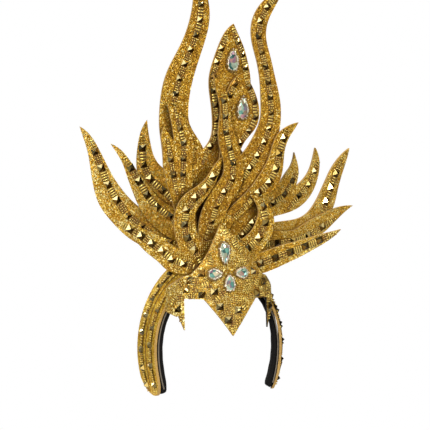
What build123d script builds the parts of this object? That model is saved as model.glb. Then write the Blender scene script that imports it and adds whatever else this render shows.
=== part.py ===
from build123d import *
from collections import namedtuple
from math import atan2, cos, degrees, pi, radians, sin, sqrt, tan
import os

os.makedirs("parts", exist_ok=True)

# A carnival crown: a padded band over the head, a bent crest plate on the forehead and
# layered foam flames. The origin is at the top of the head, midway across the band's inner
# side. The wearer looks along -Y and +Z is up. Left and right are the viewer's. Lengths are
# in millimetres and angles in degrees.

# Sheets and gaps
foam = 3.0                   # thickness of each gold foam sheet
clearance = 0.3              # gap between neighbouring pieces
layer_pitch = foam + clearance

# Head band
pad = 10.0                   # thickness of the black padding
band_width = 30.0            # front edge to back edge
front_half_width = 78.5      # arch of the front edge, outside the gold panel
front_rise = 91.0
back_half_width = 90.0       # arch of the back edge, outside the gold panel
back_rise = 112.0
cheek_drop = 112.0           # how the arch closes in again below its widest place
widest_z = -89.0             # height at which the arch is widest
arm_end_z = -143.0           # lowest point of the arms
arm_end_round = 24.0         # height of the rounded end of each arm
arm_curl = 50.0              # angle over which the arch closes in below its widest place
panel_top_x = 24.0           # the gold panels stop this far from the middle, under the flames

# Crest plate on the forehead
crest_radius = 72.0          # bend round the forehead, outside
crest_front_y = -60.0        # front of the bend at the level of the lower point
crest_lean = 5.0             # the crest leans back as it rises
brow_point_z = -71.0         # tip between the brows
crest_peak_x = -11.0         # peak stands a little to the left of the middle
crest_peak_z = 54.0
crest_shoulder_x = 50.0      # outer corner above each side spike
crest_shoulder_z = -5.0
wing_x = 72.0                # outline of the side wings, trimmed at the band
wing_z = -41.0
spike_x = 50.0               # inner edge of the side spikes
spike_tip_z = -65.0
arch_corner_x = 31.0         # where the brow arch turns level
arch_corner_z = -30.0
arch_bow = (0.50, 0.70)      # middle of the brow arch: shares of its corner's x and the point's z
wing_fork_z = -49.0          # notch between a side spike and the wing's small point
wing_point_z = -50.5
wing_top_z = -21.0
shoulder_ledge = 2.0         # rise along the shoulder, under the lowest flames
shoulder_step = 11.0         # rise from the shoulder to the slope of the peak
slope_z = 22.0               # where the outline turns up to the peak

# Stack of flames
stack_y = -40.0              # front of the first layer
stack_z = 48.0               # level of the stack's own origin
stack_lean = 6.0             # the flames lean forward as they rise
fan_sweep = 12.0             # the side fans are swept back by this angle
core_nose = 16.0             # half width of the core behind the leaves
core_half_width = 44.0
core_depth = 46.0            # back of the core behind the front of the stack
core_bottom = -46.0
core_top = 22.0
core_round = 7.0             # rounded back edges of the core

# Pyramid studs
stud_side = 8.0
stud_height = 3.4
stud_top = 0.08              # flat tip of a stud beside its base
small_stud_side = 6.5
leaf_edge = 4.5              # from the edge of a leaf to the middle of its studs

# Cut stones and their settings
girdle = 1.2                 # upright edge of a stone
crown_height = 2.0
table_share = 0.58           # size of a stone's table beside its girdle
stone_sides = 12
pear_fullness = 0.77         # widest value of the pear curve, which scales it to its width
setting_base = 1.0
setting_wall = 1.0
setting_rim = 2.6            # room round the stone for a row of beads

sides = (("left", -1), ("right", 1))     # the viewer's, with the sign of their X

Station = namedtuple("Station", "across up width")
Flame = namedtuple("Flame", "root_x root_y sway height breadth rows")
Stone = namedtuple("Stone", "x z length width turn")


def rows(*table):
    """Name the columns of a table: shares of a flame's sway, height and breadth."""
    return [Station(*row) for row in table]


# Flames of the upper leaf plate
left_horn = Flame(-30, 8, -33, 290, 46, rows(
    (0.00, -0.07, 0.80), (0.00, 0.00, 0.96), (0.21, 0.10, 1.00), (0.48, 0.20, 1.15), (0.72, 0.29, 0.97),
    (0.97, 0.37, 0.76), (1.00, 0.43, 0.72), (0.85, 0.55, 0.68), (0.45, 0.67, 0.54),
    (0.17, 0.80, 0.46), (0.27, 0.90, 0.26), (0.67, 1.00, 0.00)))
upper_leaf = Flame(2, 20, 10, 211, 50, rows(
    (0.0, -0.16, 0.70), (0.0, 0.00, 0.88), (-0.6, 0.30, 1.12), (-0.3, 0.35, 0.80),
    (-0.15, 0.40, 0.73), (-0.15, 0.45, 0.70), (0.0, 0.58, 0.88), (0.0, 0.70, 1.00),
    (0.0, 0.80, 0.83), (0.0, 0.88, 0.60), (0.0, 0.95, 0.31), (0.2, 1.00, 0.00)))

# Flames of the lower leaf plate
right_horn = Flame(-8, 10, 71, 268, 42, rows(
    (-0.05, -0.09, 0.75), (0.00, 0.00, 0.81), (0.17, 0.09, 0.86), (0.39, 0.17, 1.00), (0.58, 0.245, 0.82),
    (0.75, 0.33, 0.71), (0.85, 0.43, 0.60), (0.83, 0.52, 0.55), (0.77, 0.60, 0.45),
    (0.68, 0.69, 0.41), (0.59, 0.77, 0.42), (0.59, 0.83, 0.44), (0.68, 0.89, 0.40),
    (0.79, 0.93, 0.31), (1.00, 1.00, 0.00)))
lower_leaf = Flame(4, 20, 16, 157, 44, rows(
    (0.00, -0.20, 0.60), (0.00, 0.00, 0.68), (0.00, 0.25, 0.66), (0.06, 0.46, 0.57), (0.28, 0.56, 0.76),
    (0.60, 0.64, 0.95), (0.75, 0.72, 1.00), (0.69, 0.83, 0.84), (0.70, 0.89, 0.67), (0.78, 0.95, 0.41),
    (1.00, 1.00, 0.00)))
loop_backing = (24, 8, 26, 24)   # centre and half axes of the sheet behind the right hook's loop

# Small sprays in front of the horns, and the flame in the middle
left_spray_tall = Flame(-45, 10, -28, 128, 22, rows(
    (-0.15, -0.18, 0.85), (0.00, 0.00, 0.91), (0.25, 0.35, 1.00), (0.26, 0.60, 1.00), (0.29, 0.69, 1.00),
    (0.41, 0.77, 0.82), (0.57, 0.87, 0.66), (0.70, 0.93, 0.54), (1.00, 1.00, 0.00)))
left_spray_short = Flame(-48, 10, -28, 103, 20, rows(
    (0.00, 0.00, 0.80), (0.43, 0.39, 1.00), (0.68, 0.63, 0.90), (0.77, 0.80, 0.75),
    (0.93, 0.90, 0.50), (1.00, 1.00, 0.00)))
right_spray = Flame(10, 10, 76, 113, 25, rows(
    (-0.16, -0.12, 0.52), (-0.06, 0.02, 0.56), (0.09, 0.12, 0.62), (0.34, 0.27, 0.70), (0.55, 0.41, 1.00),
    (0.65, 0.58, 0.80), (0.69, 0.73, 0.64), (0.76, 0.85, 0.56), (0.87, 0.93, 0.36),
    (1.00, 1.00, 0.00)))
centre_flame = Flame(-18, 8, 25, 163, 28, rows(
    (0.00, -0.15, 1.00), (0.00, 0.00, 1.00), (0.20, 0.10, 1.00), (0.58, 0.21, 0.93), (0.94, 0.30, 0.89),
    (0.98, 0.39, 0.82), (0.78, 0.50, 0.78), (0.56, 0.61, 0.68), (0.49, 0.69, 0.50),
    (0.48, 0.79, 0.43), (0.30, 0.88, 0.39), (-0.12, 1.00, 0.00)))

# Left fan, from the highest flame to the lowest
left_high = Flame(-30, 18, -61, 102, 32, rows(
    (0.00, 0.00, 0.75), (0.33, 0.14, 0.95), (0.69, 0.31, 1.00), (0.89, 0.43, 0.87),
    (0.98, 0.59, 0.62), (1.00, 0.73, 0.45), (1.00, 0.86, 0.28), (0.96, 1.00, 0.00)))
left_mid = Flame(-30, -6, -100, 98, 34, rows(
    (0.00, 0.00, 1.00), (0.32, 0.13, 0.94), (0.48, 0.25, 0.79), (0.59, 0.39, 0.65),
    (0.67, 0.53, 0.53), (0.75, 0.67, 0.38), (0.82, 0.80, 0.26), (0.90, 0.91, 0.18),
    (1.00, 1.00, 0.00)))
left_low = Flame(-35, -18, -129, 128, 38, rows(
    (0.00, 0.00, 0.80), (0.27, 0.05, 0.95), (0.48, 0.15, 0.95), (0.61, 0.26, 0.87),
    (0.71, 0.38, 0.82), (0.78, 0.52, 0.66), (0.83, 0.66, 0.49), (0.88, 0.80, 0.34),
    (0.94, 0.92, 0.21), (1.00, 1.00, 0.00)))

# Right fan, from the highest flame to the lowest
right_short = Flame(45, 16, 54, 71, 24, rows(
    (0.00, 0.00, 1.00), (0.52, 0.21, 1.00), (0.84, 0.40, 1.00), (0.985, 0.61, 0.78),
    (1.035, 0.735, 0.53), (1.04, 0.865, 0.23), (1.02, 1.00, 0.00)))
right_high = Flame(45, 14, 88, 79, 24, rows(
    (0.00, 0.00, 0.90), (0.42, 0.11, 0.86), (0.66, 0.215, 1.02), (0.85, 0.38, 0.92),
    (0.96, 0.58, 0.67), (1.00, 0.78, 0.46), (0.98, 1.00, 0.00)))
right_mid = Flame(45, -18, 139, 111, 30, rows(
    (0.00, 0.00, 0.62), (0.38, 0.12, 0.67), (0.58, 0.185, 0.69), (0.71, 0.30, 0.90),
    (0.78, 0.45, 0.87), (0.82, 0.59, 0.73), (0.87, 0.74, 0.60), (0.93, 0.87, 0.40),
    (1.00, 1.00, 0.00)))
right_low = Flame(45, -24, 147, 46, 26, rows(
    (0.00, 0.00, 0.77), (0.30, 0.155, 0.76), (0.415, 0.19, 0.73), (0.50, 0.275, 0.85),
    (0.65, 0.49, 0.90), (0.78, 0.72, 0.65), (0.89, 0.89, 0.35), (1.00, 1.00, 0.00)))

# Front plate: the two lowest arms and the two hooks on one oval root
left_arm = Flame(-25, -38, -103, 47, 30, rows(
    (0.00, 0.00, 0.86), (0.28, 0.01, 0.83), (0.37, 0.08, 0.87), (0.45, 0.22, 0.81), (0.60, 0.46, 0.77),
    (0.73, 0.65, 0.57), (0.85, 0.81, 0.40), (1.00, 1.00, 0.00)))
right_arm = Flame(20, -42, 124, 41, 26, rows(
    (0.00, 0.00, 0.94), (0.24, 0.10, 0.92), (0.405, 0.28, 0.86), (0.56, 0.44, 0.73),
    (0.73, 0.635, 0.55), (0.86, 0.79, 0.36), (1.00, 1.00, 0.00)))
left_hook = Flame(-20, -36, -31, 117, 34, rows(
    (0.00, 0.00, 0.95), (0.58, 0.10, 0.94), (0.84, 0.21, 0.76), (0.98, 0.33, 0.71),
    (0.98, 0.46, 0.68), (0.71, 0.59, 0.62), (0.42, 0.66, 0.50), (0.06, 0.77, 0.35),
    (-0.16, 0.89, 0.24), (-0.34, 1.00, 0.00)))
right_hook = Flame(12, -32, 35, 71, 34, rows(
    (0.00, 0.00, 0.95), (0.55, 0.19, 0.74), (0.87, 0.37, 0.70), (1.00, 0.56, 0.65),
    (0.94, 0.76, 0.44), (0.74, 0.90, 0.26), (0.43, 1.00, 0.00)))
root_oval = (-2, -30, 40, 19)    # centre and half axes of the front plate's root

# Crest studs: x and z of each
crest_studs = (
    (-33, -1), (-44.5, -9), (-48, -19), (-33, -24.5), (-20, -21), (-14.5, -38), (-5.5, -53),
    (7, -42), (33, -24.5), (44, -12), (29, 1), (-56, -41), (56, -41))

# Arm studs: share across the panel, first and last angle round the arch, angle between two
arm_stud_rows = ((0.26, -21, 27, 12.0), (0.76, -22, 53, 10.7))

# Studs seen through the right hook's loop: x, y and turn of each
loop_studs = ((34.6, 6.0, 48), (22.7, -7.2, 48))

# Stones: place across and up, length, width and turn of the point from upright
upper_leaf_stone = Stone(4, 190, 22, 11, 0)
lower_leaf_stone = Stone(17, 137, 23, 11, 0)
crest_stones = {
    "top": Stone(-7.5, 21.5, 22, 10, 180),
    "left": Stone(-18.5, -2.0, 14, 10, -90),
    "right": Stone(12.0, -1.0, 14, 10, 90),
    "low": Stone(-2.5, -12.0, 16, 10, 0)}


def save(piece, name):
    """Label a finished piece and write it under its own name."""
    piece.part.label = name
    export_step(piece.part, f"parts/{name}.step")


def stack_plane(layer, sweep=0.0):
    """Front face of one layer; a positive sweep turns its right end back."""
    lean = radians(stack_lean)
    front = Plane(origin=(0, stack_y, stack_z), x_dir=(1, 0, 0), z_dir=(0, -cos(lean), -sin(lean)))
    turn = radians(sweep)
    across = front.x_dir * cos(turn) - front.z_dir * sin(turn)
    origin = front.origin - front.z_dir * (layer * layer_pitch)
    return Plane(origin=origin, x_dir=across, z_dir=across.cross(front.y_dir))


def spine_points(flame):
    """Middle of the flame at each station, from root to tip."""
    return [Vector(flame.root_x + flame.sway * row.across, flame.root_y + flame.height * row.up)
            for row in flame.rows]


def edge_points(flame, side, inset=0.0):
    """Points of one edge of the flame, from root to tip, or of a line inset from it."""
    spine = spine_points(flame)
    last = len(spine) - 1
    points = []
    for index, (centre, row) in enumerate(zip(spine, flame.rows)):
        along = (spine[min(index + 1, last)] - spine[max(index - 1, 0)]).normalized()
        half = max(flame.breadth * row.width / 2 - inset, 0)
        aside = Vector(along.Y, -along.X) * (side * half)
        points.append(centre + aside)
    return points


def add_flame(flame):
    """Draw one flame in the open sketch: two smooth edges that meet at the tip."""
    left, right = edge_points(flame, -1), edge_points(flame, 1)
    with BuildLine() as outline:
        Spline(*left)
        Spline(*right)
        Line(left[0], right[0])
    make_face(outline.edges())


def flame_plate(name, plane, *flames, oval=None):
    """Cut one sheet of foam to the outline of its flames."""
    with BuildPart() as plate:
        with BuildSketch(plane.offset(-foam)):
            for flame in flames:
                add_flame(flame)
            if oval:
                with Locations((oval[0], oval[1])):
                    Ellipse(oval[2], oval[3])
        extrude(amount=foam)
    save(plate, name)


def arch_section(y, half_width, rise, inset):
    """Closed arch of the band at one depth, drawn inset from the gold panel's outside."""
    with BuildSketch(Plane.XZ.offset(-y)) as section:
        with BuildLine():
            size = half_width - inset
            middle = (0, widest_z)
            drop = cheek_drop - inset
            EllipticalCenterArc(middle, size, rise - inset, start_angle=0, arc_size=180)
            left = EllipticalCenterArc(middle, size, drop, start_angle=180, arc_size=arm_curl)
            right = EllipticalCenterArc(middle, size, drop, start_angle=360 - arm_curl, arc_size=arm_curl)
            Line(left @ 1, right @ 0)
        make_face()
    return section


def arch_solid(inset, mode=Mode.ADD):
    """Solid under the arch, from the front edge of the band to its back edge."""
    front = arch_section(-band_width / 2, front_half_width, front_rise, inset)
    back = arch_section(band_width / 2, back_half_width, back_rise, inset)
    loft([front.sketch, back.sketch], mode=mode)


def arm_side():
    """Side outline of the band: full width above, with rounded ends to the arms."""
    end_z = arm_end_z + arm_end_round
    with BuildSketch(Plane.YZ) as side:
        with Locations((0, end_z)):
            Ellipse(band_width / 2, arm_end_round)
            Rectangle(band_width, back_rise * 2, align=(Align.CENTER, Align.MIN))
    return side


# Head band
with BuildPart() as head_band:
    arch_solid(layer_pitch)
    arch_solid(layer_pitch + pad, Mode.SUBTRACT)
    extrude(arm_side().sketch, amount=back_half_width, both=True, mode=Mode.INTERSECT)
save(head_band, "head_band")

# Gold arm panels
for side_name, side in sides:
    with BuildPart() as panel:
        arch_solid(0)
        arch_solid(foam, Mode.SUBTRACT)
        extrude(arm_side().sketch, amount=back_half_width, both=True, mode=Mode.INTERSECT)
        with BuildSketch(Plane.XZ) as keep:
            with Locations((side * (panel_top_x + back_half_width), widest_z)):
                Rectangle(2 * back_half_width, 4 * back_rise)
        extrude(keep.sketch, amount=band_width, both=True, mode=Mode.INTERSECT)
    save(panel, f"arm_panel_{side_name}")

# Flames, from the front layer to the back
flame_plate("front_flames", stack_plane(0), left_arm, left_hook, right_hook, right_arm,
            oval=root_oval)
flame_plate("centre_flame", stack_plane(1), centre_flame)
flame_plate("left_spray", stack_plane(2), left_spray_tall, left_spray_short)
flame_plate("right_spray", stack_plane(2), right_spray)
flame_plate("lower_leaf_plate", stack_plane(3), lower_leaf, right_horn, oval=loop_backing)
flame_plate("upper_leaf_plate", stack_plane(4), upper_leaf, left_horn)
flame_plate("left_fan_mid", stack_plane(5, -fan_sweep), left_mid)
flame_plate("left_fan_low", stack_plane(6, -fan_sweep), left_low)
flame_plate("left_fan_high", stack_plane(6, -fan_sweep), left_high)
flame_plate("right_fan_low", stack_plane(5, fan_sweep), right_low)
flame_plate("right_fan_mid", stack_plane(6, fan_sweep), right_mid)
flame_plate("right_fan_high", stack_plane(6, fan_sweep), right_short, right_high)


def flank_depth(x):
    """Depth behind the stack's front at which the last fan layer is cleared."""
    sweep = radians(fan_sweep)
    return 6 * layer_pitch + x * tan(sweep) + (foam + clearance) / cos(sweep)


# Hidden core: a nose behind the leaves and two flanks behind the side fans
stack_front = stack_plane(0)
core_plan = Plane(origin=stack_front.origin, x_dir=stack_front.x_dir, z_dir=stack_front.y_dir)
with BuildPart() as crest_core:
    with BuildSketch(core_plan.offset(core_bottom)):
        with BuildLine():
            nose = (core_nose, 5 * layer_pitch)
            throat = (core_nose, flank_depth(core_nose))
            flank = (core_half_width, flank_depth(core_half_width))
            back = (core_half_width, core_depth)
            Polyline((0, nose[1]), nose, throat, flank, back, (0, core_depth))
            mirror(about=Plane.YZ)
        make_face()
    extrude(amount=core_top - core_bottom)
    rear = crest_core.edges().filter_by_position(Axis.Y, 0, core_depth).group_by(Axis.Y)[-1]
    fillet(rear, core_round)
    arch_solid(-clearance, Mode.SUBTRACT)
save(crest_core, "crest_core")

# Crest plate: a bent shell cut to its front outline and trimmed at the band
crest_tilt = radians(crest_lean)
crest_axis = Plane(origin=(0, crest_front_y + crest_radius, brow_point_z), x_dir=(1, 0, 0),
                   z_dir=(0, sin(crest_tilt), cos(crest_tilt)))


def crest_half(side):
    """Outline of one half of the crest, from the brow point up to the peak."""
    return [(side * x, z) for x, z in (
        (arch_corner_x, arch_corner_z), (spike_x, arch_corner_z), (spike_x, spike_tip_z),
        (0.765 * wing_x, wing_fork_z), (0.79 * wing_x, wing_point_z), (wing_x, wing_z),
        (0.93 * wing_x, wing_top_z), (crest_shoulder_x, crest_shoulder_z),
        (0.86 * crest_shoulder_x, crest_shoulder_z + shoulder_ledge),
        (0.70 * crest_shoulder_x, crest_shoulder_z + shoulder_step),
        (0.50 * crest_shoulder_x, slope_z))]


with BuildPart() as crest_plate:
    with BuildSketch(crest_axis):
        Circle(crest_radius)
        Circle(crest_radius - foam, mode=Mode.SUBTRACT)
    extrude(amount=2 * crest_radius, both=True)
    with BuildSketch(Plane.XZ) as front:
        with BuildLine():
            for _, side in sides:
                corner = (side * arch_corner_x, arch_corner_z)
                bow = (side * arch_bow[0] * arch_corner_x, arch_bow[1] * brow_point_z)
                ThreePointArc((0, brow_point_z), bow, corner)
                Polyline(*crest_half(side), (crest_peak_x, crest_peak_z))
        make_face()
    extrude(front.sketch, amount=3 * crest_radius, both=True, mode=Mode.INTERSECT)
    split(bisect_by=Plane.XZ.offset(band_width / 2 + clearance), keep=Keep.TOP)
save(crest_plate, "crest_plate")


def crest_place(x, z):
    """Plane that lies on the crest's front at one place."""
    axis = crest_axis.z_dir
    axis_y = crest_axis.origin.Y + (z - brow_point_z) * tan(crest_tilt)
    point = Vector(x, axis_y - sqrt(crest_radius ** 2 - x ** 2) / cos(crest_tilt), z)
    reach = point - crest_axis.origin
    outward = (reach - axis * reach.dot(axis)).normalized()
    return Plane(origin=point, x_dir=axis.cross(outward), z_dir=outward)


def arm_place(side, angle, share):
    """Plane on the outside of a gold arm panel: share 0 is the front edge, 1 the back."""
    turn = radians(angle)
    front_height, back_height = front_rise, back_rise
    if sin(turn) < 0:
        front_height = back_height = cheek_drop
    front = Vector(side * front_half_width * cos(turn), -band_width / 2,
                   widest_z + front_height * sin(turn))
    back = Vector(side * back_half_width * cos(turn), band_width / 2,
                  widest_z + back_height * sin(turn))
    along = Vector(-side * front_half_width * sin(turn), 0, front_height * cos(turn))
    outward = (back - front).cross(along) * side
    return Plane(origin=front + (back - front) * share, x_dir=along, z_dir=outward)


def lane_places(flame, lane, start, end, count, inset=0.0):
    """Evenly spaced places along a flame: lane 0 is its middle, -1 and 1 its edges."""
    points = edge_points(flame, lane, inset) if lane else spine_points(flame)
    with BuildLine() as line:
        path = Spline(*points)
    places = []
    for index in range(count):
        share = start + (end - start) * index / max(count - 1, 1)
        heading = path % share
        turn = degrees(atan2(heading.Y, heading.X))
        places.append(Location(path @ share, (0, 0, turn)))
    return places


def on_plate(plane, *lanes):
    """Places of one or more lanes, moved onto a flat plate."""
    return [plane.location * place for lane in lanes for place in lane]


def stud_field(name, places, side=stud_side):
    """One pyramid on each place, all in one node."""
    low, high = side * (1 - stud_top) / 2, side * (1 + stud_top) / 2
    with BuildPart() as studs:
        with Locations(*places):
            with Locations((0, 0, clearance)):
                Wedge(side, stud_height, side, low, low, high, high, rotation=(90, 0, 0),
                      align=(Align.CENTER, Align.MIN, Align.CENTER))
    save(studs, name)


# Pyramid studs: flame, lane, first and last place as shares of its length, count
stud_field("studs_front_flames", on_plate(
    stack_plane(0), lane_places(left_arm, 0, 0.22, 0.86, 6), lane_places(left_hook, 0, 0.16, 0.84, 7),
    lane_places(right_hook, 0, 0.17, 0.78, 4), lane_places(right_arm, 0, 0.17, 0.77, 5)))
stud_field("studs_centre_flame", on_plate(stack_plane(1), lane_places(centre_flame, 0, 0.13, 0.854, 9)),
           small_stud_side)
stud_field("studs_left_spray", on_plate(
    stack_plane(2), lane_places(left_spray_tall, 0, 0.48, 0.81, 4),
    lane_places(left_spray_short, 0, 0.49, 0.66, 2)), small_stud_side)
stud_field("studs_right_spray", on_plate(
    stack_plane(2), lane_places(right_spray, 0.2, 0.385, 0.84, 5)))
stud_field("studs_right_horn", on_plate(stack_plane(3), lane_places(right_horn, 0, 0.24, 0.95, 14)),
           small_stud_side)
stud_field("studs_loop_backing", on_plate(
    stack_plane(3), [Location((x, y), (0, 0, turn)) for x, y, turn in loop_studs]), small_stud_side)
stud_field("studs_lower_leaf", on_plate(
    stack_plane(3), lane_places(lower_leaf, 1, 0.56, 0.915, 5, leaf_edge),
    lane_places(lower_leaf, -1, 0.835, 0.905, 2, leaf_edge)), small_stud_side)
stud_field("studs_left_horn", on_plate(stack_plane(4), lane_places(left_horn, 0, 0.52, 0.95, 9)),
           small_stud_side)
stud_field("studs_upper_leaf", on_plate(
    stack_plane(4), lane_places(upper_leaf, -1, 0.44, 0.88, 8, leaf_edge),
    lane_places(upper_leaf, 1, 0.80, 0.92, 3, leaf_edge)), small_stud_side)
stud_field("studs_left_fan_mid", on_plate(
    stack_plane(5, -fan_sweep), lane_places(left_mid, 0.3, 0.25, 0.75, 5)))
stud_field("studs_left_fan_low", on_plate(
    stack_plane(6, -fan_sweep), lane_places(left_low, 0.25, 0.515, 0.83, 4),
    lane_places(left_low, 0.08, 0.31, 0.41, 2), lane_places(left_low, -0.22, 0.12, 0.21, 2)))
stud_field("studs_left_fan_high", on_plate(
    stack_plane(6, -fan_sweep), lane_places(left_high, -0.3, 0.20, 0.76, 5)))
stud_field("studs_right_fan_low", on_plate(
    stack_plane(5, fan_sweep), lane_places(right_low, 0.35, 0.22, 0.66, 4)))
stud_field("studs_right_fan_mid", on_plate(
    stack_plane(6, fan_sweep), lane_places(right_mid, 0, 0.62, 0.81, 3)))
stud_field("studs_right_fan_high", on_plate(
    stack_plane(6, fan_sweep), lane_places(right_short, 0.3, 0.28, 0.66, 3),
    lane_places(right_high, 0, 0.51, 0.79, 3)), small_stud_side)
stud_field("studs_crest_plate", [crest_place(x, z).location for x, z in crest_studs])
for side_name, side in sides:
    places = []
    for share, first, last, step in arm_stud_rows:
        for index in range(round((last - first) / step) + 1):
            places.append(arm_place(side, first + step * index, share).location)
    stud_field(f"studs_arm_{side_name}", places, small_stud_side)


def drop_face(stone, grow=0.0, share=1.0):
    """Pear shape of a stone with straight sides, its point up, grown or at a share of its size."""
    points = []
    for index in range(stone_sides):
        turn = 2 * pi * index / stone_sides
        across = sin(turn) * sin(turn / 2) / pear_fullness
        points.append((share * stone.width / 2 * across, share * stone.length / 2 * cos(turn)))
    with BuildSketch() as face:
        with BuildLine():
            Polyline(*points, close=True)
        make_face()
        if grow:
            offset(amount=grow)
    return face.sketch


def stone_and_setting(name, place, stone):
    """A cut stone with a table, in a cup with a rim for beads."""
    turned = Plane(origin=place.origin, z_dir=place.z_dir,
                   x_dir=place.x_dir.rotate(Axis((0, 0, 0), place.z_dir), stone.turn))
    seat = turned.offset(clearance + setting_base)
    with BuildPart() as setting:
        with BuildSketch(turned.offset(clearance)):
            add(drop_face(stone, setting_rim))
        extrude(amount=setting_base)
        with BuildSketch(seat):
            add(drop_face(stone, clearance + setting_wall))
            add(drop_face(stone, clearance), mode=Mode.SUBTRACT)
        extrude(amount=girdle)
    save(setting, f"setting_{name}")
    with BuildPart() as gem:
        with BuildSketch(seat.offset(clearance)):
            add(drop_face(stone))
        extrude(amount=girdle)
        with BuildSketch(seat.offset(clearance + girdle)):
            add(drop_face(stone))
        with BuildSketch(seat.offset(clearance + girdle + crown_height)):
            add(drop_face(stone, share=table_share))
        loft(ruled=True)
    save(gem, f"stone_{name}")


def plate_place(plane, stone):
    """Plane of a flat plate moved to the place of its stone."""
    return Plane(origin=plane.from_local_coords((stone.x, stone.z)), x_dir=plane.x_dir,
                 z_dir=plane.z_dir)


stone_and_setting("upper_leaf", plate_place(stack_plane(4), upper_leaf_stone), upper_leaf_stone)
stone_and_setting("lower_leaf", plate_place(stack_plane(3), lower_leaf_stone), lower_leaf_stone)
for stone_name, stone in crest_stones.items():
    stone_and_setting(f"crest_{stone_name}", crest_place(stone.x, stone.z), stone)
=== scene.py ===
import math
import random

import bpy
from mathutils import Matrix, Vector
from mathutils.bvhtree import BVHTree


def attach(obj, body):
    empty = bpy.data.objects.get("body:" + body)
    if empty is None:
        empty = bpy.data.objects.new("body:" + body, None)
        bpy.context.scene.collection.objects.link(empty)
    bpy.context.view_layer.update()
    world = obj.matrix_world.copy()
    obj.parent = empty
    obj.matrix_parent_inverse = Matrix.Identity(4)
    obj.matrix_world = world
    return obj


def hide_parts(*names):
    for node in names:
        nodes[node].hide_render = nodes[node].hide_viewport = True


# A carnival crown. Metres, +Z up, the wearer looks along -Y, left and right are the viewer's.
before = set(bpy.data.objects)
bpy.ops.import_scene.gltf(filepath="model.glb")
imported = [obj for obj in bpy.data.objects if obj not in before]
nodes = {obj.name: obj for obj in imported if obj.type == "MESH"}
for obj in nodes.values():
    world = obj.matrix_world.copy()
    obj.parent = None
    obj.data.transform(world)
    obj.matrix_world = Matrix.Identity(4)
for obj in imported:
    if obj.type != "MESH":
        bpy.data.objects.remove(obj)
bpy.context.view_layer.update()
MM = 0.001

# Sizes of the modelled band in mm, which the padding, the piping and the seams follow
FRONT_HALF_WIDTH, BACK_HALF_WIDTH = 78.5, 90.0
FRONT_RISE, BACK_RISE = 91.0, 112.0
CHEEK_DROP = 112.0                      # how the arch closes in below its widest place
WIDEST_Z = -89.0
BAND_WIDTH = 30.0
ARM_ROUND_Z, ARM_ROUND = -119.0, 24.0   # where the rounded end of each arm starts, and its height

# How the plates face, in degrees, and the axis that the crest is bent round, in metres
STACK_LEAN, FAN_SWEEP, CREST_LEAN = 6, 12, 5
CREST_AXIS_Y, CREST_AXIS_Z = 0.012, -0.071

# Glitter: size of a flake and how far the flakes tilt
FLAKE = 0.75 * MM
FLAKE_TILT = 0.75
PAINTED_LIGHT_SIDE = (-0.62, -0.50, 0.60)    # direction of the painted light on the studs: facets that face it get painted highlights


# Shader helpers
def material(name, **inputs):
    """New material; keyword names are the Principled shader's sockets with _ for a space."""
    made = bpy.data.materials.new(name)
    made.use_nodes = True
    shader = made.node_tree.nodes["Principled BSDF"]
    for socket, value in inputs.items():
        shader.inputs[socket.replace("_", " ")].default_value = value
    return made, made.node_tree, shader


def node(tree, kind, links=(), **settings):
    """Add a node; links is (input socket, output socket) pairs, numbers are set directly."""
    made = tree.nodes.new("ShaderNode" + kind)
    for key, value in settings.items():
        setattr(made, key, value)
    for socket, source in links:
        if hasattr(source, "is_output"):
            tree.links.new(source, made.inputs[socket])
        else:
            made.inputs[socket].default_value = source
    return made


def ramp(tree, factor, *stops):
    """Colour ramp with (position, (r, g, b)) stops."""
    made = node(tree, "ValToRGB", [("Fac", factor)])
    elements = made.color_ramp.elements
    elements[0].position, elements[1].position = stops[0][0], stops[-1][0]
    for position, _ in stops[1:-1]:
        elements.new(position)
    for element, (_, colour) in zip(elements, stops):
        element.color = (*colour, 1)
    return made.outputs["Color"]


def lean_normal(tree, shader, colour, amount):
    """Tilt the surface direction of each cell by its own colour."""
    centred = node(tree, "VectorMath", [(0, colour), (1, (0.5, 0.5, 0.5))], operation="SUBTRACT")
    tilted = node(tree, "VectorMath", [(0, centred.outputs[0]), ("Scale", amount)], operation="SCALE")
    normal = node(tree, "NewGeometry").outputs["Normal"]
    leaned = node(tree, "VectorMath", [(0, normal), (1, tilted.outputs[0])], operation="ADD")
    unit = node(tree, "VectorMath", [(0, leaned.outputs[0])], operation="NORMALIZE")
    tree.links.new(unit.outputs[0], shader.inputs["Normal"])


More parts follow.
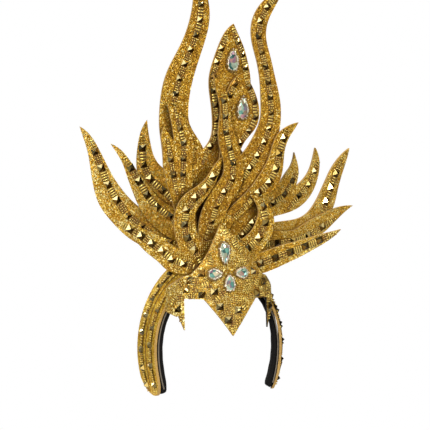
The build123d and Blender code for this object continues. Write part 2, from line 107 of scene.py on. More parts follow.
def flake_material(name, stops, metallic, roughness, layer_light):
    """Glitter sheet: flakes of varied tint and tilt, with painted glints, painted light towards the sides
    and on nearer layers, and painted shade in corners.
    """
    made, tree, shader = material(name, Metallic=metallic, Roughness=roughness)
    place = node(tree, "TexCoord").outputs["Object"]
    flakes = node(tree, "TexVoronoi", [("Vector", place), ("Scale", 1 / FLAKE)])
    tint = node(tree, "SeparateColor", [("Color", flakes.outputs["Color"])]).outputs[0]
    cloud = node(tree, "TexNoise", [("Vector", place), ("Scale", 70.0), ("Detail", 4.0)])
    shade = node(tree, "MapRange", [("Value", cloud.outputs["Fac"]), ("From Min", 0.3), ("From Max", 0.7),
                                    ("To Min", -0.14), ("To Max", 0.14)])
    # painted light and shade: darker near the middle, lighter towards the sides
    across = node(tree, "SeparateXYZ", [("Vector", place)]).outputs[0]
    aside = node(tree, "Math", [(0, across)], operation="ABSOLUTE")
    painted_side_light = node(tree, "MapRange", [("Value", aside.outputs[0]), ("From Min", 0.03), ("From Max", 0.12),
                                    ("To Min", layer_light - 0.13), ("To Max", layer_light + 0.12)])
    clouded = node(tree, "Math", [(0, tint), (1, shade.outputs[0])], operation="ADD")
    placed = node(tree, "Math", [(0, clouded.outputs[0]), (1, painted_side_light.outputs[0])], operation="ADD")
    # painted glints: a few random flakes get a near-white base colour
    sparks = node(tree, "TexVoronoi", [("Vector", place), ("Scale", 0.5 / FLAKE)])
    lot = node(tree, "SeparateColor", [("Color", sparks.outputs["Color"])]).outputs[2]
    painted_glint = node(tree, "MapRange", [("Value", lot), ("From Min", 0.80), ("From Max", 0.98),
                                    ("To Min", -0.03), ("To Max", 0.45)])
    mixed = node(tree, "Math", [(0, placed.outputs[0]), (1, painted_glint.outputs[0])], operation="ADD")
    # painted shade: ambient occlusion darkens the base colour in corners and where plates overlap
    corner = node(tree, "AmbientOcclusion", [("Distance", 14 * MM)], samples=6)
    painted_corner_shade = node(tree, "MapRange", [("Value", corner.outputs["AO"]), ("From Min", 0.35), ("From Max", 0.95),
                                   ("To Min", 0.22), ("To Max", 1.0)])
    colour = ramp(tree, mixed.outputs[0], *stops)
    tinted = node(tree, "VectorMath", [(0, colour), ("Scale", painted_corner_shade.outputs[0])], operation="SCALE")
    tree.links.new(tinted.outputs[0], shader.inputs["Base Color"])
    lean_normal(tree, shader, flakes.outputs["Color"], FLAKE_TILT)
    return made


def grain_material(name, scale, strength, stops, **inputs):
    """Plain surface with a noise in its colour and its bump."""
    made, tree, shader = material(name, **inputs)
    place = node(tree, "TexCoord").outputs["Object"]
    grain = node(tree, "TexNoise", [("Vector", place), ("Scale", scale), ("Detail", 5.0)])
    tree.links.new(ramp(tree, grain.outputs["Fac"], *stops), shader.inputs["Base Color"])
    bump = node(tree, "Bump", [("Height", grain.outputs["Fac"]), ("Strength", strength),
                               ("Distance", MM)])
    tree.links.new(bump.outputs[0], shader.inputs["Normal"])
    return made


gold_tints = [(0.02, (0.20, 0.080, 0.002)), (0.30, (0.38, 0.170, 0.005)), (0.68, (0.61, 0.315, 0.013)),
              (0.88, (0.95, 0.66, 0.09)), (1.0, (1.0, 0.90, 0.40))]
# last number: painted light, lighter on the front plates, crest and arms, darker on the deeper plates
glitter = flake_material("gold_glitter", gold_tints, 0.65, 0.40, -0.02)
front_glitter = flake_material("front_glitter", gold_tints, 0.65, 0.38, 0.06)
crest_glitter = flake_material("crest_glitter", gold_tints, 0.65, 0.36, 0.22)
arm_tints = [(0.0, (0.26, 0.105, 0.002)), (0.35, (0.62, 0.305, 0.009)), (0.8, (0.86, 0.49, 0.025)),
             (1.0, (1.0, 0.78, 0.16))]
arm_glitter = flake_material("arm_glitter", arm_tints, 0.60, 0.38, 0.12)
cut_edge = grain_material("cut_foam_edge", 900.0, 0.3, [
    (0.3, (0.36, 0.20, 0.05)), (0.7, (0.60, 0.38, 0.11))], Roughness=0.85)
foam_back = grain_material("black_foam_back", 500.0, 0.4, [
    (0.3, (0.008, 0.007, 0.006)), (0.7, (0.022, 0.019, 0.016))], Roughness=0.8, Specular_IOR_Level=0.2)
bead_gold = grain_material("bead_gold", 700.0, 0.1, [
    (0.35, (0.88, 0.60, 0.10)), (0.65, (1.0, 0.82, 0.26))], Metallic=0.75, Roughness=0.3)
bead_dark = grain_material("bead_dark", 700.0, 0.1, [
    (0.35, (0.50, 0.26, 0.03)), (0.65, (0.80, 0.50, 0.12))], Metallic=0.7, Roughness=0.3)
# dark tape under the beadwork: partly the ribbon's dark mesh, partly painted shade round the beads
tape_look = grain_material("bead_tape", 900.0, 0.4, [
    (0.3, (0.09, 0.038, 0.004)), (0.7, (0.24, 0.115, 0.014))], Roughness=0.7)
setting_metal = grain_material("setting_metal", 400.0, 0.2, [
    (0.3, (0.18, 0.10, 0.018)), (0.7, (0.34, 0.205, 0.045))], Metallic=0.5, Roughness=0.45)
silver_bead = grain_material("silver_bead", 500.0, 0.1, [
    (0.3, (0.80, 0.70, 0.52)), (0.7, (1.0, 0.93, 0.78))], Metallic=0.4, Roughness=0.2)
padding_cloth = grain_material("padding_cloth", 1400.0, 0.5, [
    (0.3, (0.004, 0.004, 0.004)), (0.7, (0.014, 0.012, 0.011))], Roughness=0.9, Specular_IOR_Level=0.12)
piping_look = grain_material("piping_cord", 1500.0, 0.4, [
    (0.3, (0.11, 0.09, 0.065)), (0.7, (0.22, 0.185, 0.14))], Roughness=0.7)


def stud_material():
    """Two-tone gold: painted highlights on the upper left facets, painted shade nearly black on the lower
    right ones, more painted shade to the right.
    """
    made, tree, shader = material("stud_gold", Metallic=0.95, Roughness=0.10)
    place = node(tree, "TexCoord").outputs["Object"]
    cells = node(tree, "TexVoronoi", [("Vector", place), ("Scale", 55.0)])
    lot = node(tree, "SeparateColor", [("Color", cells.outputs["Color"])]).outputs[1]
    # painted light and shade: facets facing the painted light side are bright, those facing away nearly
    # black
    facing = node(tree, "VectorMath", [(0, node(tree, "NewGeometry").outputs["True Normal"]),
                                       (1, PAINTED_LIGHT_SIDE)], operation="DOT_PRODUCT")
    uneven = node(tree, "MapRange", [("Value", lot), ("To Min", -0.12), ("To Max", 0.24)])
    # random tone for each stud, plus painted shade that grows darker towards the right
    across = node(tree, "SeparateXYZ", [("Vector", place)]).outputs[0]
    painted_right_shade = node(tree, "MapRange", [("Value", across), ("From Min", 0.0), ("From Max", 0.09),
                                   ("To Min", 0.0), ("To Max", -0.30)])
    stud_tone_and_shade = node(tree, "Math", [(0, uneven.outputs[0]), (1, painted_right_shade.outputs[0])], operation="ADD")
    lit = node(tree, "Math", [(0, facing.outputs["Value"]), (1, stud_tone_and_shade.outputs[0])], operation="ADD")
    tree.links.new(ramp(tree, lit.outputs[0], (0.18, (0.045, 0.024, 0.005)), (0.34, (0.22, 0.11, 0.015)),
                        (0.50, (0.80, 0.54, 0.13)), (0.80, (1.0, 0.84, 0.40))), shader.inputs["Base Color"])
    lean_normal(tree, shader, cells.outputs["Color"], 0.30)
    return made


def stone_material():
    """Clear cut stone with a rainbow coating: each patch of facets flashes its own colour."""
    made, tree, shader = material("coated_stone", Metallic=0.35, Roughness=0.06, IOR=1.6)
    place = node(tree, "TexCoord").outputs["Object"]
    facets = node(tree, "TexVoronoi", [("Vector", place), ("Scale", 230.0)])
    hue = node(tree, "SeparateColor", [("Color", facets.outputs["Color"])]).outputs[1]
    tree.links.new(ramp(tree, hue, (0.0, (0.05, 0.12, 0.11)), (0.2, (0.20, 0.50, 0.40)),
                        (0.38, (0.60, 0.74, 0.56)), (0.54, (0.40, 0.32, 0.18)), (0.68, (0.62, 0.30, 0.36)),
                        (0.82, (0.24, 0.20, 0.30)), (1.0, (0.72, 0.70, 0.44))),
                   shader.inputs["Base Color"])
    lean_normal(tree, shader, facets.outputs["Color"], 0.9)
    return made


stud_gold = stud_material()
stone_look = stone_material()


# Carried-over CAD nodes
def flat_front(turn_deg):
    """Front direction of a plate in the stack; the fans are swept back by turn_deg."""
    lean, turn = math.radians(STACK_LEAN), math.radians(turn_deg)
    normal = Vector((0, -math.cos(lean), -math.sin(lean)))
    across = Vector((1, 0, 0))
    front = normal * math.cos(turn) + across * math.sin(turn)
    return lambda place: front


def from_axis(y, z, along):
    """Front direction of a bent plate: away from an axis through (0, y, z)."""
    axis = Vector(along).normalized()

    def outward(place):
        reach = place - Vector((0, y, z))
        return (reach - axis * reach.dot(axis)).normalized()
    return outward


crest_tilt = math.radians(CREST_LEAN)
crest_outward = from_axis(CREST_AXIS_Y, CREST_AXIS_Z, (0, math.sin(crest_tilt), math.cos(crest_tilt)))
arch_outward = from_axis(0, WIDEST_Z * MM, (0, 1, 0))
fronts = {name: flat_front(0) for name in (
    "front_flames", "centre_flame", "left_spray", "right_spray", "lower_leaf_plate", "upper_leaf_plate")}
fronts.update({f"left_fan_{name}": flat_front(-FAN_SWEEP) for name in ("low", "mid", "high")})
fronts.update({f"right_fan_{name}": flat_front(FAN_SWEEP) for name in ("low", "mid", "high")})
fronts.update(crest_plate=crest_outward, arm_panel_left=arch_outward, arm_panel_right=arch_outward)


def paint_plate(plate, outward):
    """Glitter in front, bare foam on the cut edges and black foam behind."""
    mesh = plate.data
    mesh.materials.clear()
    sheet = {"front_flames": front_glitter, "crest_plate": crest_glitter, "arm_panel_left": arm_glitter,
             "arm_panel_right": arm_glitter}.get(plate.name, glitter)
    for look in (sheet, cut_edge, foam_back):
        mesh.materials.append(look)
    for face in mesh.polygons:
        facing = face.normal.dot(outward(face.center))
        face.material_index = 0 if facing > 0.7 else 2 if facing < -0.7 else 1


for name, outward in fronts.items():
    paint_plate(nodes[name], outward)
for name, item in nodes.items():
    if name in fronts:
        continue
    kind = name.split("_")[0]
    look, slot = {"studs": (stud_gold, "gold_studs"), "setting": (setting_metal, "stone_settings"),
                  "stone": (stone_look, "cut_stones")}.get(kind, (foam_back, "black_foam"))
    item.data.materials.clear()
    item.data.materials.append(look)


def add_object(name, vertices, faces, look, smooth=False):
    """New mesh object of one material."""
    mesh = bpy.data.meshes.new(name)
    mesh.from_pydata(vertices, [], faces)
    mesh.materials.append(look)
    mesh.polygons.foreach_set("use_smooth", [smooth] * len(faces))
    made = bpy.data.objects.new(name, mesh)
    bpy.context.scene.collection.objects.link(made)
    return made


# Small trim: beads and bars in one joined mesh for each plate
def ring_points(count, radius, x):
    """Points of a circle round the X axis."""
    turns = [2 * math.pi * i / count for i in range(count)]
    return [(x, radius * math.cos(turn), radius * math.sin(turn)) for turn in turns]


def turned_form(profile, count=6):
    """Points and faces of a closed form turned about X; profile is (x, radius) pairs."""
    points = [point for x, radius in profile for point in ring_points(count, radius, x)]
    faces = []
    for row in range(len(profile) - 1):
        for i in range(count):
            j = (i + 1) % count
            low, high = row * count, (row + 1) * count
            faces.append((low + j, low + i, high + i, high + j))
    last = (len(profile) - 1) * count
    faces.append(tuple(range(count)))
    faces.append(tuple(last + i for i in reversed(range(count))))
    return [Vector(point) for point in points], faces


PLAIN_LOOK, DARK_LOOK, TAPE_LOOK = 0, 1, 2     # places of a trim's materials in its mesh
BEAD = turned_form([(-0.92, 0.35), (-0.5, 0.87), (0.5, 0.87), (0.92, 0.35)])
BAR = turned_form([(-1.0, 0.55), (-0.9, 1.0), (0.9, 1.0), (1.0, 0.55)])
TAPE = ([Vector((x, y, z)) for z in (0, 1) for y in (-1, 1) for x in (-1, 1)],
        [(0, 2, 3, 1), (4, 5, 7, 6), (0, 1, 5, 4), (2, 6, 7, 3), (0, 4, 6, 2), (1, 3, 7, 5)])


def search_tree(names):
    """Search tree over the faces of these nodes."""
    points, faces = [], []
    for name in names:
        base = len(points)
        mesh = nodes[name].data
        points.extend(vertex.co.copy() for vertex in mesh.vertices)
        faces.extend([base + i for i in face.vertices] for face in mesh.polygons)
    return BVHTree.FromPolygons(points, faces)


raised = search_tree([name for name in nodes if name.split("_")[0] in ("studs", "setting", "stone")])
covers = search_tree(list(fronts))
chance = random.Random(7)

# Steps of the beadwork, the small beads and bars of its ovals, and the dark tape under it, partly the
# ribbon's mesh and partly painted shade
BAR_PITCH, ROW_PITCH, LINE_PITCH, OVAL_PITCH = 2.9 * MM, 2.3 * MM, 2.4 * MM, 2.2 * MM
OVAL_BEAD, OVAL_BAR, OVAL_BAR_ROOM = 0.9 * MM, 0.65 * MM, 1.3 * MM
STRAY = 0.7 * MM                # how far a bead strays from its row
TAPE_THICKNESS = 0.25 * MM

# Ribbons: room beside a stud, shortest gap that is filled, and the blocks past the last stud
STUD_ROOM, SHORTEST = 0.8 * MM, 2.5 * MM
END_START, END_STEP, END_BLOCK = 3.4 * MM, 6.6 * MM, 5.5 * MM


class Trim:
    """Small pieces that lie on one plate's front, joined in one mesh."""

    def __init__(self, plate):
        self.name = plate
        self.plate = search_tree([plate])
        self.outward = fronts[plate]
        self.points, self.faces, self.looks = [], [], []

    def foot(self, place, reach=9 * MM):
        """Where the plate's front is, near this place, if nothing lies over it."""
        normal = self.outward(place)
        spot, facing, _, _ = self.plate.ray_cast(place + normal * reach, -normal, 2 * reach)
        if spot is None or facing.dot(normal) < 0.7:
            return None
        if covers.ray_cast(spot + normal * 0.05 * MM, normal, 5 * MM)[0] is not None:
            return None
        return spot, self.outward(spot)

    def add(self, form, origin, along, normal, sizes, look):
        """Add one form: sizes are its half length, half width and half height."""
        across = normal.cross(along).normalized()
        along = across.cross(normal)
        base = len(self.points)
        self.points.extend(origin + along * (p.x * sizes[0]) + across * (p.y * sizes[1])
                           + normal * (p.z * sizes[2]) for p in form[0])
        self.faces.extend(tuple(base + i for i in face) for face in form[1])
        self.looks.extend([look] * len(form[1]))

    def bead(self, place, radius=1.0 * MM, look=PLAIN_LOOK):
        """A bead on the plate, left out off its edge and where a stud or stone stands."""
        found = self.foot(place)
        if not found:
            return
        spot, normal = found
        middle = spot + normal * radius * 0.7
        if raised.find_nearest(middle, radius * 0.9)[0] is not None:
            return
        self.add(BEAD, middle, normal, Vector((0.3, 0.5, 0.8)).cross(normal), (radius,) * 3, look)

    def bar(self, place, along, half, radius=0.85 * MM):
        """A short bar on the plate, left out where its ends or middle don't lie free."""
        for share in (-0.9, 0, 0.9):
            found = self.foot(place + along * half * share)
            if not found or raised.find_nearest(found[0] + found[1] * radius, radius)[0] is not None:
                return
        spot, normal = self.foot(place)
        self.add(BAR, spot + normal * radius * 0.9, along, normal, (half, radius, radius), PLAIN_LOOK)

    def block(self, place, along, length, width, kind):
        """A patch of the ribbon: beads in rows or bars laid across."""
        found = self.foot(place)
        if not found:
            return
        spot, normal = found
        across = normal.cross(along).normalized()
        along = across.cross(normal)
        corners = [spot + along * (a * length * 0.5) + across * (b * width * 0.5)
                   for a in (-1, 1) for b in (-1, 1)]
        if all(self.foot(corner) for corner in corners):
            self.add(TAPE, spot, along, normal, (length / 2, width / 2, TAPE_THICKNESS), TAPE_LOOK)
        if kind == "bars":
            count = max(round(length / BAR_PITCH), 1)
            for i in range(count):
                shift = (i - (count - 1) / 2) * length / count
                self.bar(spot + along * shift, across, width * 0.46)
        else:
            rows, lines = max(round(length / ROW_PITCH), 1), max(round(width / LINE_PITCH), 1)
            for i in range(rows):
                for j in range(lines):
                    stray = [(chance.random() - 0.5) * STRAY for _ in range(2)]
                    self.bead(spot + along * ((i - (rows - 1) / 2) * length / rows + stray[0])
                              + across * ((j - (lines - 1) / 2) * width / lines + stray[1]),
                              look=PLAIN_LOOK if chance.random() < 0.75 else DARK_LOOK)

    def ring(self, place, along, half_length, half_width):
        """An oval of beads, with bars laid across inside it."""
        found = self.foot(place)
        if not found:
            return
        spot, normal = found
        across = normal.cross(along).normalized()
        along = across.cross(normal)
        count = int(math.pi * (half_length + half_width) / OVAL_PITCH)
        for i in range(count):
            turn = 2 * math.pi * i / count
            self.bead(spot + along * half_length * math.cos(turn) + across * half_width * math.sin(turn),
                      OVAL_BEAD)
        inner = int(half_length / OVAL_BAR_ROOM)
        for i in range(inner):
            shift = (i - (inner - 1) / 2) * LINE_PITCH
            reach = half_width * math.sqrt(max(1 - (shift / half_length) ** 2, 0.05)) * 0.62
            self.bar(spot + along * shift, across, reach, OVAL_BAR)

    def build(self):
        """Finish the mesh; it rides with the crown."""
        made = add_object("trim_" + self.name, self.points, self.faces, bead_gold)
        mesh = made.data
        mesh.materials.append(bead_dark)
        mesh.materials.append(tape_look)
        mesh.polygons.foreach_set("material_index", self.looks)
        mesh.polygons.foreach_set("use_smooth", [look != TAPE_LOOK for look in self.looks])
        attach(made, "root")


def stud_places(name):
    """Middle of each pyramid of a node, on its underside."""
    mesh = nodes[name].data
    key, owner = {}, []
    for vertex in mesh.vertices:
        owner.append(key.setdefault(tuple(round(c, 6) for c in vertex.co), len(key)))
    parent = list(range(len(key)))

    def root(i):
        while parent[i] != i:
            i = parent[i]
        return i
    for face in mesh.polygons:
        for corner in face.vertices[1:]:
            parent[root(owner[corner])] = root(owner[face.vertices[0]])
    groups = {}
    for point, i in key.items():
        groups.setdefault(root(i), []).append(Vector(point))
    return [sum(points, Vector()) / len(points) for points in groups.values()]


def chains(places, longest):
    """Pairs of neighbouring studs along their ribbons, nearest first, without forks or sharp turns."""
    pairs = sorted(((a - b).length, i, j)
                   for i, a in enumerate(places) for j, b in enumerate(places) if i < j)
    linked = {i: [] for i in range(len(places))}
    chosen = []

    def straight(at, to):
        onward = (places[to] - places[at]).normalized()
        return all((places[at] - places[k]).normalized().dot(onward) > 0.5 for k in linked[at])
    for gap, i, j in pairs:
        if gap > longest:
            break
        if len(linked[i]) < 2 and len(linked[j]) < 2 and straight(i, j) and straight(j, i):
            linked[i].append(j)
            linked[j].append(i)
            chosen.append((i, j))
    ends = [(i, linked[i][0]) for i in linked if len(linked[i]) == 1]
    return chosen, ends


def ribbon(trim, places, side, width, longest):
    """Fill the ribbon between studs, and past its ends, with blocks of beads and bars."""
    chosen, ends = chains(places, longest)
    for i, j in chosen:
        along = places[j] - places[i]
        length = along.length - side - STUD_ROOM
        if length > SHORTEST:
            trim.block((places[i] + places[j]) / 2, along.normalized(), length, width,
                       "bars" if chance.random() < 0.45 else "beads")
    for end, before in ends:
        along = (places[end] - places[before]).normalized()
        for step in range(3):
            trim.block(places[end] + along * (side / 2 + END_START + END_STEP * step), along, END_BLOCK,
                       width * (1 - 0.22 * step), ("beads", "bars", "beads")[step])


# Ribbons: stud node, plate, side of a stud and width of the ribbon in mm, longest step
ribbons = (
    ("studs_front_flames", "front_flames", 8.0, 8.0, 26),
    ("studs_centre_flame", "centre_flame", 6.5, 6.5, 24),
    ("studs_right_spray", "right_spray", 8.0, 7.5, 24),
    ("studs_loop_backing", "lower_leaf_plate", 6.5, 6.5, 24),
    ("studs_right_horn", "lower_leaf_plate", 6.5, 6.5, 24),
    ("studs_lower_leaf", "lower_leaf_plate", 6.5, 6.0, 24),
    ("studs_left_horn", "upper_leaf_plate", 6.5, 6.5, 24),
    ("studs_upper_leaf", "upper_leaf_plate", 6.5, 6.0, 24),
    ("studs_left_fan_mid", "left_fan_mid", 8.0, 7.5, 24),
    ("studs_left_fan_low", "left_fan_low", 8.0, 7.5, 24),
    ("studs_left_fan_high", "left_fan_high", 8.0, 7.5, 24),
    ("studs_right_fan_low", "right_fan_low", 8.0, 7.0, 26),
    ("studs_right_fan_mid", "right_fan_mid", 8.0, 7.0, 26),
    ("studs_right_fan_high", "right_fan_high", 6.5, 6.0, 24))
trims = {}
for field, plate, side, width, longest in ribbons:
    trim = trims.setdefault(plate, Trim(plate))
    ribbon(trim, stud_places(field), side * MM, width * MM, longest * MM)

# Ribbons that run side by side on one plate: stud node, plate and the axis and place that part them
side_stud, side_ribbon, side_step = 6.5 * MM, 5.4 * MM, 24 * MM
for field, plate, axis, parting in (
        ("studs_arm_left", "arm_panel_left", 1, 0), ("studs_arm_right", "arm_panel_right", 1, 0),
        ("studs_left_spray", "left_spray", 0, -60)):
    trim = trims[plate] = Trim(plate)
    studs = stud_places(field)
    for after in (False, True):
        row = [place for place in studs if (place[axis] >= parting * MM) == after]
        ribbon(trim, row, side_stud, side_ribbon, side_step)

# Beadwork on the crest: kind, x, z, length and width in mm, turn from level
crest_work = (
    ("beads", -23.6, 40.8, 6, 8, 60), ("bars", -14.8, 44.4, 8, 6, 60), ("bars", -11.5, 50.0, 5, 4, 0),
    ("bars", -5.7, 45.3, 7, 6, -60), ("beads", 2.2, 40.4, 7, 7, -60), ("bars", 5.3, 31.7, 8, 7, -60),
    ("ring", 11.1, 26.2, 4, 3, -50), ("bars", -27.5, 26.5, 8, 6, 70), ("beads", -25.0, 18.5, 7, 6, 72),
    ("bars", -23.0, 11.5, 6, 6, 75), ("beads", -34.1, 10.0, 8, 7, 50), ("ring", 12.6, 11.1, 5, 4, 20),
    ("beads", 19.5, 14.5, 7, 5, -40), ("beads", -38.6, -10.0, 6, 10, 10), ("beads", -53.5, -13.0, 8, 5, -60),
    ("bars", -29.5, -13.5, 8, 6, 20), ("beads", -40.5, -20.0, 7, 7, 30), ("beads", -25.0, -15.0, 5, 5, 0),
    ("beads", -10.6, -23.0, 8, 7, 30), ("bars", -17.5, -30.0, 8, 6, 40), ("beads", 3.2, -31.5, 9, 7, -20),
    ("ring", 20.0, -18.8, 6, 4.5, 30), ("bars", 31.9, -12.2, 8, 7, 60), ("ring", 13.3, -30.9, 4, 4, 0),
    ("beads", -4.5, -40.0, 9, 8, 20), ("bars", 14.5, -39.5, 6, 6, -50), ("beads", 0.5, -48.5, 8, 7, 0),
    ("beads", 7.5, -51.0, 6, 6, -50), ("beads", 1.0, -58.0, 9, 7, 90), ("bars", -1.0, -64.0, 5, 4, 90),
    ("beads", -11.0, -46.5, 7, 6, -60), ("beads", 24.0, -27.0, 7, 5, 0), ("beads", -26.0, -27.0, 6, 5, 0),
    ("bars", 39.0, -20.0, 7, 6, 0), ("beads", 42.0, -26.5, 8, 5, 0), ("beads", -43.0, -27.0, 8, 4, 0),
    ("beads", 20.5, -8.5, 5, 5, 0), ("beads", 38.0, -3.0, 7, 6, -30), ("bars", 52.0, -16.0, 7, 6, 60),
    ("beads", 53.5, -28.0, 8, 7, 80), ("beads", -54.0, -29.0, 8, 7, 100), ("bars", -60.0, -33.0, 8, 6, 60),
    ("beads", -53.0, -52.0, 8, 4, 80), ("beads", 53.0, -52.0, 8, 4, 100), ("beads", 61.0, -32.0, 7, 6, 90))


def front_spot(trim, x, z):
    """Place, level direction and outward direction on a plate's front, x and z in mm."""
    spot = trim.plate.ray_cast(Vector((x * MM, -0.2, z * MM)), Vector((0, 1, 0)), 0.4)[0]
    if spot is None:
        return None
    normal = trim.outward(spot)
    return spot, Vector((0, 0, 1)).cross(normal).normalized(), normal


trim = trims["crest_plate"] = Trim("crest_plate")
for kind, x, z, length, width, turn in crest_work:
    found = front_spot(trim, x, z)
    if not found:
        continue
    spot, level, normal = found
    along = Matrix.Rotation(math.radians(turn), 3, normal) @ level
    if kind == "ring":
        trim.ring(spot, along, length * MM, width * MM)
    else:
        trim.block(spot, along, length * MM, width * MM, kind)


def carpet(trim, corner, across, rows, pitch, turn, cover):
    """Rows of small beads over a part of a plate; a larger cover leaves smaller bare patches."""
    lean = math.radians(turn)
    for i in range(rows):
        for j in range(across):
            x = corner[0] + pitch * (j * math.cos(lean) - i * math.sin(lean))
            z = corner[1] + pitch * (j * math.sin(lean) + i * math.cos(lean))
            bare = math.sin(x * 0.29 + 2.1) * math.sin(z * 0.33 + 0.7) + 0.5 * math.sin(x * 0.11 - z * 0.17)
            if bare > cover or chance.random() < 0.12:
                continue
            found = front_spot(trim, x + (chance.random() - 0.5) * 0.6, z + (chance.random() - 0.5) * 0.6)
            if found:
                trim.bead(found[0], 0.78 * MM, PLAIN_LOOK if chance.random() < 0.7 else DARK_LOOK)


# Carpets of beads: plate, first corner in mm, beads across, rows, pitch in mm, turn, cover
carpet(trim, (-62, -42), 56, 16, 2.2, 3, 0.25)
carpet(trim, (-24, -8), 22, 20, 2.3, -4, -0.05)
carpet(trim, (-14, -66), 14, 14, 2.1, 0, 0.35)
carpet(trims["front_flames"], (-64, 2), 47, 38, 2.4, 2, 0.10)

# Bead line on the spray's lower edge, beside the hook's loop: first and last x and z in mm
line_start, line_end, line_count = (8.8, 59.9), (36.4, 82.8), 15
for i in range(line_count):
    share = i / (line_count - 1)
    x, z = (a + (b - a) * share for a, b in zip(line_start, line_end))
    for aside in (0, 2.2):
        found = front_spot(trims["right_spray"], x - aside * 0.6, z + aside * 0.75)
        if found:
            look = PLAIN_LOOK if (i + int(aside)) % 3 else DARK_LOOK
            trims["right_spray"].bead(found[0], look=look)

for trim in trims.values():
    trim.build()


# Bead rings round the stones: room outside the stone, step, radius of a bead and its rise
RING_ROOM, RING_PITCH, RING_BEAD, RING_RISE = 2.0 * MM, 3.6 * MM, 0.9 * MM, 0.6 * MM
SEAT_GAP = 0.3 * MM             # the stone stands this far above its seat


def stone_ring(name):
    """Ring of silvery beads on a setting's rim, round its stone."""
    points = [vertex.co.copy() for vertex in nodes["stone_" + name].data.vertices]
    middle = sum(points, Vector()) / len(points)
    plate = {"upper_leaf": "upper_leaf_plate", "lower_leaf": "lower_leaf_plate"}.get(name, "crest_plate")
    normal = fronts[plate](middle)
    level = normal.cross(Vector((0, 0, 1))).normalized()
    rise = level.cross(normal)
    flat = {}
    for point in points:
        reach = point - middle
        across, up = reach.dot(level), reach.dot(rise)
        turn = round(math.atan2(up, across), 2)
        if turn not in flat or math.hypot(*flat[turn]) < math.hypot(across, up):
            flat[turn] = (across, up)
    outline = [flat[turn] for turn in sorted(flat)]
    seat = min((point - middle).dot(normal) for point in points) - SEAT_GAP
    grown = []
    for i, (across, up) in enumerate(outline):
        before, after = outline[i - 1], outline[(i + 1) % len(outline)]
        edge = Vector((after[0] - before[0], after[1] - before[1])).normalized()
        grown.append(Vector((across + edge.y * RING_ROOM, up - edge.x * RING_ROOM)))
    lengths = [(grown[(i + 1) % len(grown)] - point).length for i, point in enumerate(grown)]
    count = int(sum(lengths) / RING_PITCH)
    step = sum(lengths) / count
    vertices, faces = [], []
    leg, walked = 0, 0.0
    for number in range(count):
        while number * step - walked > lengths[leg]:
            walked += lengths[leg]
            leg += 1
        share = (number * step - walked) / lengths[leg]
        spot = grown[leg].lerp(grown[(leg + 1) % len(grown)], share)
        origin = middle + level * spot.x + rise * spot.y + normal * (seat + RING_RISE)
        base = len(vertices)
        vertices.extend(origin + (normal * p.x + level * p.y + rise * p.z) * RING_BEAD for p in BEAD[0])
        faces.extend(tuple(base + i for i in face) for face in BEAD[1])
    made = add_object("bead_ring_" + name, vertices, faces, silver_bead, True)
    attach(made, "root")


for name in nodes:
    if name.startswith("stone_"):
        stone_ring(name[len("stone_"):])


# The band and the two arms
def arch_place(turn, share, inset):
    """Place on the arch of the band: share 0 is its front edge, inset is from the gold's outside."""
    front_height, back_height = FRONT_RISE, BACK_RISE
    if math.sin(turn) < 0:
        front_height = back_height = CHEEK_DROP
    across = FRONT_HALF_WIDTH + (BACK_HALF_WIDTH - FRONT_HALF_WIDTH) * share - inset
    rise = front_height + (back_height - front_height) * share - inset
    depth = BAND_WIDTH * (share - 0.5)
    return Vector((across * math.cos(turn), depth, WIDEST_Z + rise * math.sin(turn))) * MM


def arm_narrowing(height):
    """Share of the full width that an arm has at one height, from its rounded end."""
    below = (ARM_ROUND_Z - height) / ARM_ROUND
    return math.sqrt(max(1 - below * below, 0.0)) if below > 0 else 1.0


def padded_band():
    """Black padding from ear to ear: a crowned form that is full in the middle and pinched at its edges."""
    lowest = math.radians(-28.7)           # where the arms end
    middle, half_depth = 8.5, 4.7          # inset of the padding's middle from the gold's outside
    narrowest = 0.12                       # share of the width that is left at the very end
    stations, around = 150, 24
    vertices, faces = [], []
    for i in range(stations + 1):
        turn = lowest + (math.pi - 2 * lowest) * i / stations
        height = arch_place(turn, 0.5, 8).z / MM
        narrow = max(arm_narrowing(height), narrowest)
        puff = 1 + 0.035 * math.sin(turn * 38) + 0.02 * math.sin(turn * 17 + 1)
        for j in range(around):
            angle = 2 * math.pi * j / around
            across = math.copysign(abs(math.cos(angle)) ** 0.62, math.cos(angle))
            deep = math.copysign(abs(math.sin(angle)) ** 0.75, math.sin(angle))
            reach = 0.97 * narrow * (1 - 0.03 * abs(deep)) * across
            inset = middle + half_depth * deep * (puff if deep > 0 else 1) * min(narrow + 0.3, 1)
            vertices.append(arch_place(turn, 0.5 + 0.5 * reach, inset))
    for i in range(stations):
        for j in range(around):
            k = (j + 1) % around
            faces.append((i * around + j, (i + 1) * around + j, (i + 1) * around + k, i * around + k))
    faces.append(tuple(reversed(range(around))))
    faces.append(tuple(stations * around + j for j in range(around)))
    band = add_object("padded_band", vertices, faces, padding_cloth, True)
    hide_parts("head_band")
    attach(band, "root")


def cord_along(name, path, radius, look):
    """A thin round cord through the places of a path."""
    vertices, faces, around = [], [], 6
    for i, place in enumerate(path):
        along = (path[min(i + 1, len(path) - 1)] - path[max(i - 1, 0)]).normalized()
        aside = along.cross(Vector((0, 1, 0))).normalized()
        other = along.cross(aside)
        for j in range(around):
            angle = 2 * math.pi * j / around
            vertices.append(place + (aside * math.cos(angle) + other * math.sin(angle)) * radius)
    for i in range(len(path) - 1):
        for j in range(around):
            k = (j + 1) % around
            faces.append((i * around + j, i * around + k, (i + 1) * around + k, (i + 1) * around + j))
    faces.append(tuple(range(around)))
    faces.append(tuple((len(path) - 1) * around + j for j in reversed(range(around))))
    made = add_object(name, vertices, faces, look, True)
    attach(made, "root")


padded_band()

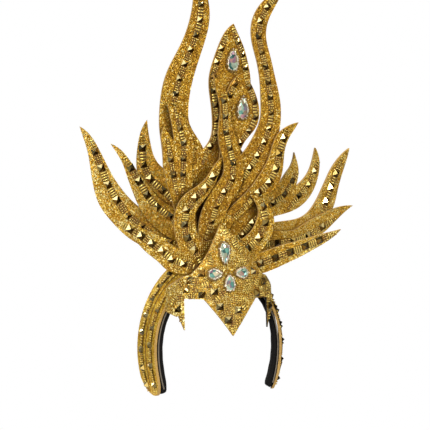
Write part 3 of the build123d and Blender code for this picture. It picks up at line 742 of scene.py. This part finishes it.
# Piping along the front edge and a seam along each gold panel: share across the band and inset
PIPING_SHARE, PIPING_INSET, PIPING_RADIUS = -0.012, 4.9, 0.8 * MM
SEAM_SHARE, SEAM_INSET, SEAM_RADIUS = 0.5, -0.15, 0.45 * MM
for side_name, mirrored in (("left", True), ("right", False)):
    turns = [math.radians(half_degrees / 2) for half_degrees in range(-49, 121)]
    if mirrored:
        turns = [math.pi - turn for turn in turns]
    piping = [arch_place(turn, PIPING_SHARE, PIPING_INSET) for turn in turns]
    cord_along("piping_" + side_name, piping, PIPING_RADIUS, piping_look)
    seam = [arch_place(turn, SEAM_SHARE, SEAM_INSET) for turn in turns[8:]]
    cord_along("arm_seam_" + side_name, seam, SEAM_RADIUS, tape_look)


# Camera, light and floor
camera = bpy.data.objects.new("camera", bpy.data.cameras.new("camera"))
bpy.context.scene.collection.objects.link(camera)
bpy.context.scene.camera = camera
target = Vector((0, 0, 0.064))
azimuth = math.radians(-20)
distance = 1.2
camera.location = target + Vector((math.sin(azimuth), -math.cos(azimuth), 0)) * distance
camera.rotation_euler = (target - camera.location).to_track_quat("-Z", "Y").to_euler()
camera.data.sensor_width = 36
camera.data.lens = 85.9
bpy.context.scene.view_settings.view_transform = "Standard"


def soft_light(name, place, size, power):
    """Rectangular lamp that faces the crown."""
    lamp = bpy.data.objects.new(name, bpy.data.lights.new(name, "AREA"))
    lamp.data.shape = "RECTANGLE"
    lamp.data.size, lamp.data.size_y = size
    lamp.data.energy = power
    lamp.location = place
    lamp.rotation_euler = (Vector((0, 0, 0.05)) - lamp.location).to_track_quat("-Z", "Y").to_euler()
    bpy.context.scene.collection.objects.link(lamp)


soft_light("key", (-1.0, -1.8, 1.3), (0.5, 0.5), 36)
soft_light("fill", (1.4, -1.7, 0.5), (0.5, 1.0), 15)
soft_light("top", (0.2, 0.4, 1.9), (1.0, 0.8), 20)
soft_light("back", (-0.6, 1.8, 0.9), (1.0, 1.0), 14)

world = bpy.data.worlds.new("studio")
bpy.context.scene.world = world
world.use_nodes = True
sky = world.node_tree
sky.nodes.clear()
direction = node(sky, "TexCoord").outputs["Generated"]
patches = node(sky, "TexNoise", [("Vector", direction), ("Scale", 3.2), ("Detail", 3.0)])
level = node(sky, "MapRange", [("Value", patches.outputs["Fac"]), ("From Min", 0.45), ("From Max", 0.62),
                               ("To Min", 0.01), ("To Max", 0.30)]).outputs[0]

# Bright panels of the room: direction, dot product at the edge and inside it, strength
panels = (((-0.75, -0.50, 0.45), 0.86, 0.94, 1.9), ((0.34, -0.16, 0.93), 0.90, 0.98, 0.5))
for towards, start, end, strength in panels:
    middle = Vector(towards).normalized()
    facing = node(sky, "VectorMath", [(0, direction), (1, middle)], operation="DOT_PRODUCT")
    panel = node(sky, "MapRange", [("Value", facing.outputs["Value"]), ("From Min", start),
                                   ("From Max", end), ("To Min", 0.0), ("To Max", strength)],
                 interpolation_type="SMOOTHSTEP")
    level = node(sky, "Math", [(0, level), (1, panel.outputs[0])], operation="ADD").outputs[0]
room = node(sky, "Background", [("Color", (1.0, 0.97, 0.91, 1)), ("Strength", level)])
white = node(sky, "Background", [("Color", (1, 1, 1, 1))])
seen = node(sky, "LightPath").outputs["Is Camera Ray"]
both = node(sky, "MixShader", [("Fac", seen), (1, room.outputs[0]), (2, white.outputs[0])])
node(sky, "OutputWorld", [("Surface", both.outputs[0])])

floor_look = grain_material("floor_paint", 40.0, 0.05, [
    (0.3, (0.80, 0.79, 0.77)), (0.7, (0.86, 0.85, 0.83))], Roughness=0.7)
floor_radius, floor_z = 0.5, -0.30
rim = [(floor_radius * math.cos(math.radians(turn)), floor_radius * math.sin(math.radians(turn)), floor_z)
       for turn in range(0, 360, 5)]
floor = add_object("floor", rim, [list(range(len(rim)))], floor_look)
